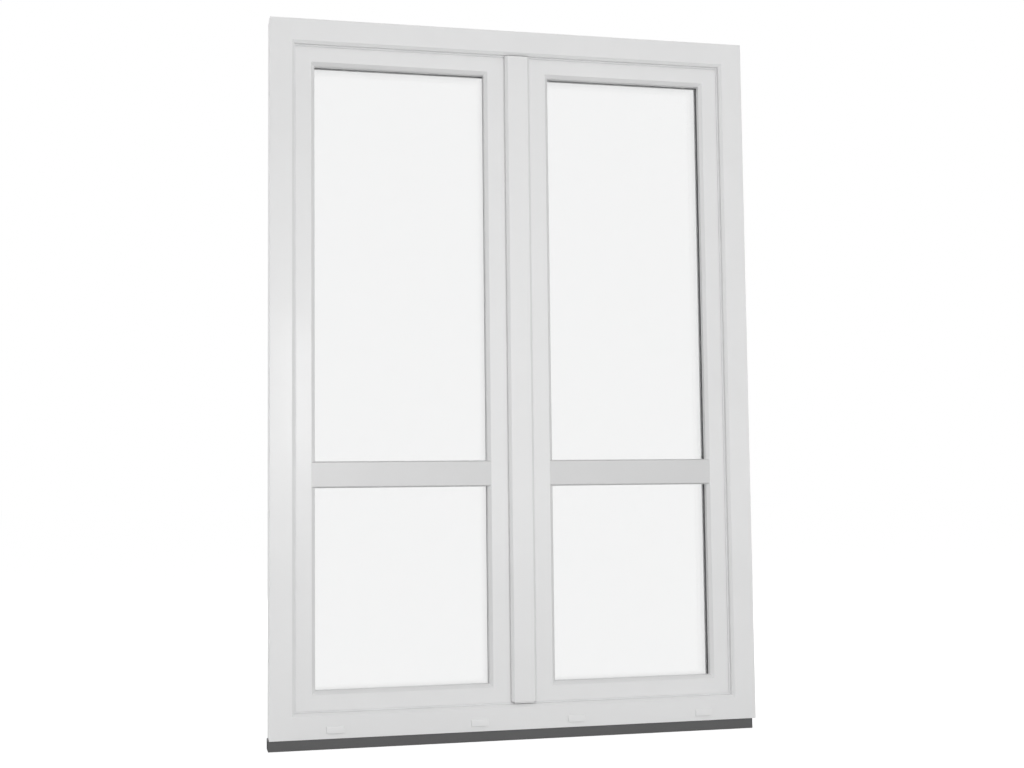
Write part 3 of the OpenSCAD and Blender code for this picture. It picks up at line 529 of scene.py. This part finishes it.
def prism(bm, outline, low, high):
    """An upright bar of one outline, with plain ends."""
    a, b = ([bm.verts.new((x, y, z)) for x, y in outline] for z in (low, high))
    skin(bm, a, b)
    bm.faces.new(a[::-1])
    bm.faces.new(b)


def loft(bm, rows):
    """Skins a row of closed sections and shuts both ends."""
    rings = [[bm.verts.new(v) for v in row] for row in rows]
    for a, b in zip(rings, rings[1:]):
        skin(bm, a, b)
    bm.faces.new(rings[0][::-1])
    bm.faces.new(rings[-1])


def lathe(bm, origin, axis, profile, facets):
    """Turns a profile of (distance along the axis, radius) about an axis from origin."""
    n = Vector(axis).normalized()
    u = n.orthogonal().normalized()
    w = n.cross(u)
    rows = []
    for along, r in profile:
        rows.append([Vector(origin) + n * along + (u * math.cos(a) + w * math.sin(a)) * max(r, 1e-6)
                     for a in turned(facets)])
    loft(bm, rows)


def parts_of(name):
    """Low and high corner of each loose part of a CAD node, from its vertices."""
    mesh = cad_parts[name].data
    bm = bmesh.new()
    bm.from_mesh(mesh)
    bmesh.ops.remove_doubles(bm, verts=bm.verts, dist=WELD_GAP)
    seen, out = set(), []
    for start in bm.verts:
        if start.index in seen:
            continue
        stack, low, high = [start], Vector(start.co), Vector(start.co)
        seen.add(start.index)
        while stack:
            v = stack.pop()
            low, high = (Vector(map(f, a, v.co)) for f, a in ((min, low), (max, high)))
            for edge in v.link_edges:
                other = edge.other_vert(v)
                if other.index not in seen:
                    seen.add(other.index)
                    stack.append(other)
        out.append((low, high))
    bm.free()
    return out


def cross_screw(name, centre, normal, r, body, depth, shank=0.0, replaces=()):
    """A raised countersunk steel screw head with a cross recess, its rim at centre."""
    n = Vector(normal).normalized()
    u = n.orthogonal().normalized()
    w = n.cross(u)
    arm, half = r * 0.62, r * 0.14

    def at(a, b, h):
        return Vector(centre) + u * a + w * b + n * h

    def circle(share_r, h):
        return [bm.verts.new(at(r * share_r * math.cos(t), r * share_r * math.sin(t), h))
                for t in turned(SCREW_FACETS)]

    bm = bmesh.new()
    plus = [(arm, -half), (arm, half), (half, half), (half, arm), (-half, arm), (-half, half),
            (-arm, half), (-arm, -half), (-half, -half), (-half, -arm), (half, -arm), (half, -half)]
    top = [bm.verts.new(at(a, b, depth * 0.8)) for a, b in plus]
    foot = [bm.verts.new(at(a * 0.8, b * 0.8, -depth)) for a, b in plus]
    rim = [circle(share_r, depth * rise)
           for share_r, rise in ((0.8, 0.8), (0.94, 0.55), (1.0, 0.0), (1.0, -0.4))]
    for a, b in ((top, foot), *zip(rim, rim[1:])):
        skin(bm, a, b)
    bm.faces.new(foot)
    edges = [bm.edges.get((row[i], row[(i + 1) % len(row)]))
             for row in (top, rim[0]) for i in range(len(row))]
    bmesh.ops.triangle_fill(bm, use_beauty=True, edges=edges)
    last = rim[-1]
    if shank:
        neck, end = circle(0.55, -depth * 1.2), circle(0.55, -shank)
        skin(bm, last, neck)
        skin(bm, neck, end)
        last = end
    bm.faces.new(last)
    piece(name, bm, body, "steel", replaces, 32.0)


def frozen(obj):
    """Applies an object's modifiers to its mesh."""
    bpy.context.view_layer.update()
    made = bpy.data.meshes.new_from_object(obj.evaluated_get(
        bpy.context.evaluated_depsgraph_get()))
    obj.modifiers.clear()
    obj.data = made
    for face in made.polygons:
        face.use_smooth = True


# ---------------------------------------------------------------------------------------------
# Operators


class BuildStep(bpy.types.Operator):
    """Base of the building steps."""

    bl_options = {"REGISTER", "UNDO"}

    @property
    def shape(self):
        return bpy.context.scene.window_shape


class WINDOW_OT_stage(BuildStep):
    """Set up the camera, the lamps, the floor and the backdrop"""

    bl_idname = "window.stage"
    bl_label = "Stage"

    def execute(self, context):
        s = context.scene.window_studio
        self.camera(context, s)
        self.backdrop(context, s)
        for name, setting, place, aim, width, height in LAMPS:
            self.lamp(context, name, place, aim, width, height, getattr(s, setting))
        return {"FINISHED"}

    def camera(self, context, s):
        """A camera at the place and angles of the settings."""
        data = bpy.data.cameras.new("Camera")
        data.lens = s.lens
        data.sensor_width = 36.0
        data.clip_end = 200.0
        cam = bpy.data.objects.new("Camera", data)
        cam.location = s.eye
        cam.rotation_euler = (s.tilt, s.roll, s.heading)
        context.scene.collection.objects.link(cam)
        context.scene.camera = cam

    def lamp(self, context, name, place, target, width, height, watts):
        """A soft lamp that neither the camera nor the glass shows."""
        data = bpy.data.lights.new(name, "AREA")
        data.shape = "RECTANGLE"
        data.size, data.size_y = width, height
        data.energy = watts
        obj = bpy.data.objects.new(name, data)
        obj.location = place
        aim = Vector(target) - Vector(place)
        obj.rotation_euler = aim.to_track_quat("-Z", "Y").to_euler()
        obj.visible_camera = False
        obj.visible_transmission = False
        obj.visible_glossy = name == MIRRORED_LAMP
        context.scene.collection.objects.link(obj)

    def backdrop(self, context, s):
        """A world that looks white and lights evenly, the floor and the view transform."""
        world = bpy.data.worlds.new("Studio")
        context.scene.world = world
        f = Finish(world)
        seen = f.seen_by()
        shown = (seen["Is Camera Ray"] + seen["Is Glossy Ray"]
                 + seen["Is Transmission Ray"]).math("MINIMUM", 1.0)
        glow = f.add("ShaderNodeBackground", None, {
            "Color": (1.0, 1.0, 1.0), "Strength": shown * (1.0 - s.sky) + s.sky})
        f.add("ShaderNodeOutputWorld", None, {"Surface": glow})
        bm = bmesh.new()
        far = FLOOR_HALF
        prism(bm, [(-far, -far), (far, -far), (far, far), (-far, far)], -FLOOR_THICK, 0.0)
        mesh = bpy.data.meshes.new("Floor")
        bm.to_mesh(mesh)
        bm.free()
        ground = bpy.data.objects.new("Floor", mesh)
        ground.data.materials.append(floor_finish("Floor", s.floor, s.floor_lift))
        context.scene.collection.objects.link(ground)
        context.scene.view_settings.view_transform = "Standard"


class WINDOW_OT_frame_profiles(BuildStep):
    """Round and finish the four members of the outer frame"""

    bl_idname = "window.frame_profiles"
    bl_label = "Frame profiles"

    def execute(self, context):
        for name in FRAME_MEMBERS:
            upright = "jamb" in name
            soften(name, self.shape.profile_radius, along=2 if upright else 0)
            paint_nodes("pvc_upright" if upright else "pvc_level", name)
        return {"FINISHED"}


class WINDOW_OT_leaf_profiles(BuildStep):
    """Round and finish the rails and stiles of both leaves"""

    bl_idname = "window.leaf_profiles"
    bl_label = "Leaf profiles"

    def execute(self, context):
        for leaf in LEAVES:
            for member in LEVEL_MEMBERS:
                soften(f"{leaf}_{member}", self.shape.profile_radius, along=0)
                paint_nodes("pvc_level", f"{leaf}_{member}")
        for name in ("active_hinge_stile", "active_lock_stile", "passive_hinge_stile",
                     "passive_meeting_stile"):
            soften(name, self.shape.profile_radius, along=2)
            paint_nodes("pvc_upright", name)
        return {"FINISHED"}


class WINDOW_OT_cross_bars(BuildStep):
    """Round and finish the cross bar of each leaf"""

    bl_idname = "window.cross_bars"
    bl_label = "Cross bars"

    def execute(self, context):
        for leaf in LEAVES:
            soften(f"{leaf}_cross_bar", self.shape.profile_radius, along=0)
            paint_nodes("bar", f"{leaf}_cross_bar")
        return {"FINISHED"}


class WINDOW_OT_mullion(BuildStep):
    """Round and finish the floating mullion and its end caps"""

    bl_idname = "window.mullion"
    bl_label = "Floating mullion"

    def execute(self, context):
        soften("meeting_mullion", self.shape.profile_radius, along=2)
        soften("mullion_end_caps", self.shape.profile_radius)
        paint_nodes("pvc_upright", "meeting_mullion", "mullion_end_caps")
        return {"FINISHED"}


class WINDOW_OT_glass(BuildStep):
    """Build the triple panes with ground edges"""

    bl_idname = "window.glass"
    bl_label = "Glass"

    def execute(self, context):
        for leaf in LEAVES:
            for level in ("upper", "lower"):
                node = f"{leaf}_{level}_glass"
                bm = bmesh.new()
                for low, high in parts_of(node):
                    self.pane(bm, low, high, self.shape.pane_edge)
                piece(f"{node}_panes", bm, f"{leaf}_leaf", "glass", (node,), 20.0)
        return {"FINISHED"}

    def pane(self, bm, low, high, e):
        """One pane: two faces, and an edge with its two arrises ground off."""
        rows = []
        for inset, y in ((e, low.y), (0.0, low.y + e), (0.0, high.y - e), (e, high.y)):
            rows.append([(low.x + inset, y, low.z + inset), (high.x - inset, y, low.z + inset),
                         (high.x - inset, y, high.z - inset), (low.x + inset, y, high.z - inset)])
        loft(bm, rows)


class WINDOW_OT_spacers(BuildStep):
    """Build the warm-edge spacers with their chamfered shoulders"""

    bl_idname = "window.spacers"
    bl_label = "Spacers"

    def execute(self, context):
        for leaf in LEAVES:
            node = f"{leaf}_spacers"
            bm = bmesh.new()
            for low, high in parts_of(node):
                self.bar(bm, low, high)
            piece(f"{node}_bars", bm, f"{leaf}_leaf", "spacer", (node,), 40.0)
            paint_nodes("block", f"{leaf}_setting_blocks")
        return {"FINISHED"}

    def bar(self, bm, low, high):
        """A spacer ring: a box section with chamfered shoulders and a shallow seam inside."""
        tall = self.shape.spacer_height
        back, front, seam, groove = 0.0012, 0.0008, 0.0006, 0.0004
        y0, y1 = low.y, high.y
        mid = (y0 + y1) / 2
        section = [(0.0, y0 + back), (0.0, y1 - back), (back, y1), (tall - front, y1),
                   (tall, y1 - front), (tall, mid + seam), (tall - groove, mid),
                   (tall, mid - seam), (tall, y0 + front), (tall - front, y0), (back, y0)]
        ring(bm, (low.x, high.x, low.z, high.z), section)


class WINDOW_OT_seals(BuildStep):
    """Build the weather seals and glazing seals with rounded lips"""

    bl_idname = "window.seals"
    bl_label = "Seals"

    def execute(self, context):
        self.rings("frame_seal", "frame", self.shape.lip_seal, self.whole("frame_seal"), "seal")
        for leaf in LEAVES:
            body = f"{leaf}_leaf"
            node = f"{leaf}_overlap_seal"
            self.rings(node, body, self.shape.seal_width, self.whole(node), "seal")
            node = f"{leaf}_glass_seals"
            boxes = parts_of(node)
            middle = sum(low.y + high.y for low, high in boxes) / (2 * len(boxes))
            outside = [box for box in boxes if box[1].y < middle]
            inside = [(low + Vector((0.0, self.shape.seal_air, 0.0)), high)
                      for low, high in boxes if low.y > middle]
            self.rings(node, body, self.shape.glazing_seal, outside, "seal", "_outside")
            self.rings(node, body, self.shape.glazing_seal, inside, "light_seal", "_room")
        self.strips()
        return {"FINISHED"}

    def whole(self, node):
        """One box round all four mitred parts of a seal."""
        boxes = parts_of(node)
        return [(Vector(min(box[0][i] for box in boxes) for i in range(3)),
                 Vector(max(box[1][i] for box in boxes) for i in range(3)))]

    def rings(self, node, body, wide, boxes, finish, tail=""):
        """One mitred ring in each box, with rounded lips."""
        bm = bmesh.new()
        for low, high in boxes:
            ring(bm, (low.x, high.x, low.z, high.z), self.section(0.0, wide, low.y, high.y))
        if node == "frame_seal":
            self.press_in(bm)
        piece(f"{node}{tail}_lips", bm, body, finish, (node,), 50.0)

    def section(self, near, far, y0, y1):
        """A seal's section with rounded lips."""
        return rounded([(near, y0), (far, y0), (far, y1), (near, y1)],
                       min(self.shape.seal_bulb, (y1 - y0) * 0.45), SEAL_STEPS)

    def press_in(self, bm):
        """Sets the frame's seal back where the ends of the mullion and its seals meet it."""
        low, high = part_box("meeting_mullion")
        ends = parts_of("mullion_seals")
        foot, head = min(box[0].z for box in ends), max(box[1].z for box in ends)
        air = self.shape.strip_seal
        for x in (low.x - 2 * air, low.x - air, high.x + air, high.x + 2 * air):
            bmesh.ops.bisect_plane(bm, geom=bm.verts[:] + bm.edges[:] + bm.faces[:],
                                   plane_co=(x, 0.0, 0.0), plane_no=(1.0, 0.0, 0.0))
        for vert in bm.verts:
            if low.x - 1.5 * air < vert.co.x < high.x + 1.5 * air:
                if vert.co.z > (foot + head) / 2:
                    vert.co.z = max(vert.co.z, head + air)
                else:
                    vert.co.z = min(vert.co.z, foot - air)

    def strips(self):
        """The two upright seals behind the mullion's strip."""
        bm = bmesh.new()
        left, right = (edge.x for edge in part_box("meeting_mullion"))
        back = self.shape.strip_seal
        for low, high in parts_of("mullion_seals"):
            x0, x1 = (low.x, right - back) if low.x > (left + right) / 2 else (left + back, high.x)
            prism(bm, self.section(x0, x1, low.y, high.y), low.z, high.z)
        piece("mullion_seals_lips", bm, "passive_leaf", "seal", ("mullion_seals",), 50.0)


class WINDOW_OT_beads(BuildStep):
    """Round and finish the glazing beads on the room side"""

    bl_idname = "window.beads"
    bl_label = "Glazing beads"

    def execute(self, context):
        for leaf in LEAVES:
            soften(f"{leaf}_beads", self.shape.bead_radius)
            paint_nodes("pvc_upright", f"{leaf}_beads")
        return {"FINISHED"}


class WINDOW_OT_base(BuildStep):
    """Finish the dark profile under the frame"""

    bl_idname = "window.base"
    bl_label = "Base profile"

    def execute(self, context):
        soften("base_profile", self.shape.profile_radius)
        paint_nodes("base", "base_profile")
        return {"FINISHED"}


class WINDOW_OT_drain_caps(BuildStep):
    """Round and finish the drainage caps on the bottom rail"""

    bl_idname = "window.drain_caps"
    bl_label = "Drainage caps"

    def execute(self, context):
        soften("drain_caps", self.shape.cap_radius, 3)
        paint_nodes("pvc_level", "drain_caps")
        return {"FINISHED"}


class WINDOW_OT_hinges(BuildStep):
    """Round the hinges and add their barrel caps, bush rings and screws"""

    bl_idname = "window.hinges"
    bl_label = "Hinges"

    def execute(self, context):
        for side, leaf in (("left", "active"), ("right", "passive")):
            for level in ("upper", "lower"):
                base, flap = f"{side}_{level}_hinge_base", f"{leaf}_{level}_hinge_leaf"
                for node in (base, flap):
                    soften(node, self.shape.hinge_radius, 3)
                    paint_nodes("coat", node)
                self.trim(side, level, base, flap, f"{leaf}_leaf")
        return {"FINISHED"}

    def trim(self, side, level, base, flap, body):
        """Barrel caps, a bush ring between the two barrels, and the screws of both plates."""
        base_low, base_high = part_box(base)
        flap_low, flap_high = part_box(flap)
        out = -1.0 if side == "left" else 1.0
        r = self.shape.barrel_radius
        y = flap_high.y - r
        x = (flap_low.x + r) if side == "left" else (flap_high.x - r)
        dome = [(-0.0004, r * 0.93), (0.0003, r * 0.97), (0.0009, r * 0.94), (0.0014, r * 0.8),
                (0.0018, r * 0.5), (0.002, r * 0.2), (0.002, 0.0)]
        tag = f"{side}_{level}"
        for name, z, up, rides in (("cap", flap_high.z, 1, body),
                                   ("foot", base_low.z, -1, "frame")):
            bm = bmesh.new()
            lathe(bm, (x, y, z), (0, 0, up), dome, 40)
            piece(f"{tag}_barrel_{name}", bm, rides, "coat", (), 40.0)
        bm = bmesh.new()
        gap, air = flap_low.z - base_high.z, 0.00005
        lathe(bm, (x, y, base_high.z), (0, 0, 1), [
            (air, r * 0.8), (air, r * 0.98), (gap - air, r * 0.98), (gap - air, r * 0.8)], 40)
        piece(f"{tag}_bush", bm, "frame", "light_seal", (), 40.0)
        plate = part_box("active_hinge_stile")[1].y + self.shape.flap_plate
        rows, raised = (0.011, 0.034), 0.0006
        for k, (dz, dx) in enumerate((z, x) for z in rows for x in (0.024, 0.042)):
            cross_screw(f"{tag}_flap_screw_{k}", (x - out * dx, plate, flap_low.z + dz),
                        (0, 1, 0), self.shape.screw_head, body, raised)
        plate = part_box("frame_left_jamb")[1].y + self.shape.base_plate
        edge = base_low.x if side == "left" else base_high.x
        for k, dz in enumerate(rows):
            cross_screw(f"{tag}_base_screw_{k}", (edge - out * 0.009, plate, base_low.z + dz),
                        (0, 1, 0), self.shape.screw_head, "frame", raised)


class WINDOW_OT_handle(BuildStep):
    """Build the lever, and finish its rose and screws"""

    bl_idname = "window.handle"
    bl_label = "Handle"

    def execute(self, context):
        low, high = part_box("handle_lever")
        rose_low, rose_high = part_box("handle_rose")
        x = (rose_low.x + rose_high.x) / 2
        z = (rose_low.z + rose_high.z) / 2
        wide = high.z - low.z
        deep = 0.013
        bm = bmesh.new()
        self.grip(bm, low.x, high.x, high.y - deep / 2, z, wide / 2, deep / 2)
        neck = high.y - deep * 0.35 - low.y
        lathe(bm, (x, low.y + 0.001, z), (0, 1, 0), [
            (0.0, 0.0099), (0.009, 0.0099), (0.0105, 0.0096), (0.0125, 0.0086), (0.018, 0.0082),
            (0.023, 0.0085), (0.0265, 0.0096), (neck - 0.0015, 0.0098), (neck - 0.001, 0.009)], 48)
        lever = piece("handle_lever_body", bm, "handle", "coat",
                      ("handle_lever",))
        fuse = lever.modifiers.new("Fuse", "REMESH")
        fuse.mode = "VOXEL"
        fuse.voxel_size = 0.0008
        ease = lever.modifiers.new("Ease", "SMOOTH")
        ease.factor = 0.5
        ease.iterations = 8
        frozen(lever)
        soften("handle_rose", self.shape.rose_radius, 3)
        paint_nodes("coat", "handle_rose")
        raised = 0.0012
        for k, (a, b) in enumerate(parts_of("rose_screws")):
            centre = ((a.x + b.x) / 2, b.y - raised, (a.z + b.z) / 2)
            cross_screw(f"rose_screw_{k}", centre, (0, 1, 0), (b.x - a.x) / 2, "active_leaf",
                        raised, b.y - raised - a.y, ("rose_screws",))
        return {"FINISHED"}

    def grip(self, bm, x0, x1, y, z, half_w, half_t):
        """A bar that tapers to its tip, with soft ends and an oval section."""
        tip = self.shape.grip_taper
        rows = []
        stations = 40
        for k in range(stations + 1):
            s = k / stations
            x = x1 + (x0 - x1) * s
            near = min(s, 1 - s) * (x1 - x0)
            end_w = min(1.0, near / half_w)
            end_t = min(1.0, near / (half_t * 1.2))
            w = half_w * (1 - (1 - tip) * s) * math.sqrt(max(1e-4, 1 - (1 - end_w) ** 2))
            t = half_t * (1 - 0.1 * s) * math.sqrt(max(1e-4, 1 - (1 - end_t) ** 2))
            rows.append([(x, y + t * oval(math.sin(a)), z + w * oval(math.cos(a)))
                         for a in turned(36)])
        loft(bm, rows)


def oval(value, power=0.8):
    """One coordinate of a squarish oval."""
    return math.copysign(abs(value) ** power, value)


class WINDOW_OT_hardware(BuildStep):
    """Finish the lock, the bolts, the keeps and the steel inside the profiles"""

    bl_idname = "window.hardware"
    bl_label = "Lock and bolts"

    def execute(self, context):
        paint_nodes("steel", *STEEL_NODES)
        paint_nodes("zinc", *ZINC_NODES)
        for name in ZINC_NODES:
            if name not in CLOSE_NODES:
                soften(name, self.shape.metal_radius)
        return {"FINISHED"}


STEPS = (WINDOW_OT_stage, WINDOW_OT_frame_profiles, WINDOW_OT_leaf_profiles, WINDOW_OT_cross_bars,
         WINDOW_OT_mullion, WINDOW_OT_glass, WINDOW_OT_spacers, WINDOW_OT_seals, WINDOW_OT_beads,
         WINDOW_OT_base, WINDOW_OT_drain_caps, WINDOW_OT_hinges, WINDOW_OT_handle,
         WINDOW_OT_hardware)


class WINDOW_PT_panel(bpy.types.Panel):
    """Lists the building steps in the 3D view's sidebar"""

    bl_idname = "WINDOW_PT_panel"
    bl_label = "Double Casement Window"
    bl_space_type = "VIEW_3D"
    bl_region_type = "UI"
    bl_category = "Window"

    def draw(self, context):
        scene = context.scene
        for group in (scene.window_shape, scene.window_finish, scene.window_studio):
            box = self.layout.box()
            for name in group.bl_rna.properties.keys():
                if name not in ("rna_type", "name"):
                    box.prop(group, name)
        for step in STEPS:
            self.layout.operator(step.bl_idname)


GROUPS = (("window_shape", ShapeSettings), ("window_finish", FinishSettings),
          ("window_studio", StudioSettings))


def register():
    for name, group in GROUPS:
        bpy.utils.register_class(group)
        setattr(bpy.types.Scene, name, bpy.props.PointerProperty(type=group))
    for cls in (*STEPS, WINDOW_PT_panel):
        bpy.utils.register_class(cls)


def unregister():
    for cls in (WINDOW_PT_panel, *reversed(STEPS)):
        bpy.utils.unregister_class(cls)
    for name, group in reversed(GROUPS):
        delattr(bpy.types.Scene, name)
        bpy.utils.unregister_class(group)


def main():
    register()
    for step in STEPS:
        area, action = step.bl_idname.split(".")
        getattr(getattr(bpy.ops, area), action)()


if __name__ == "__main__":
    main()
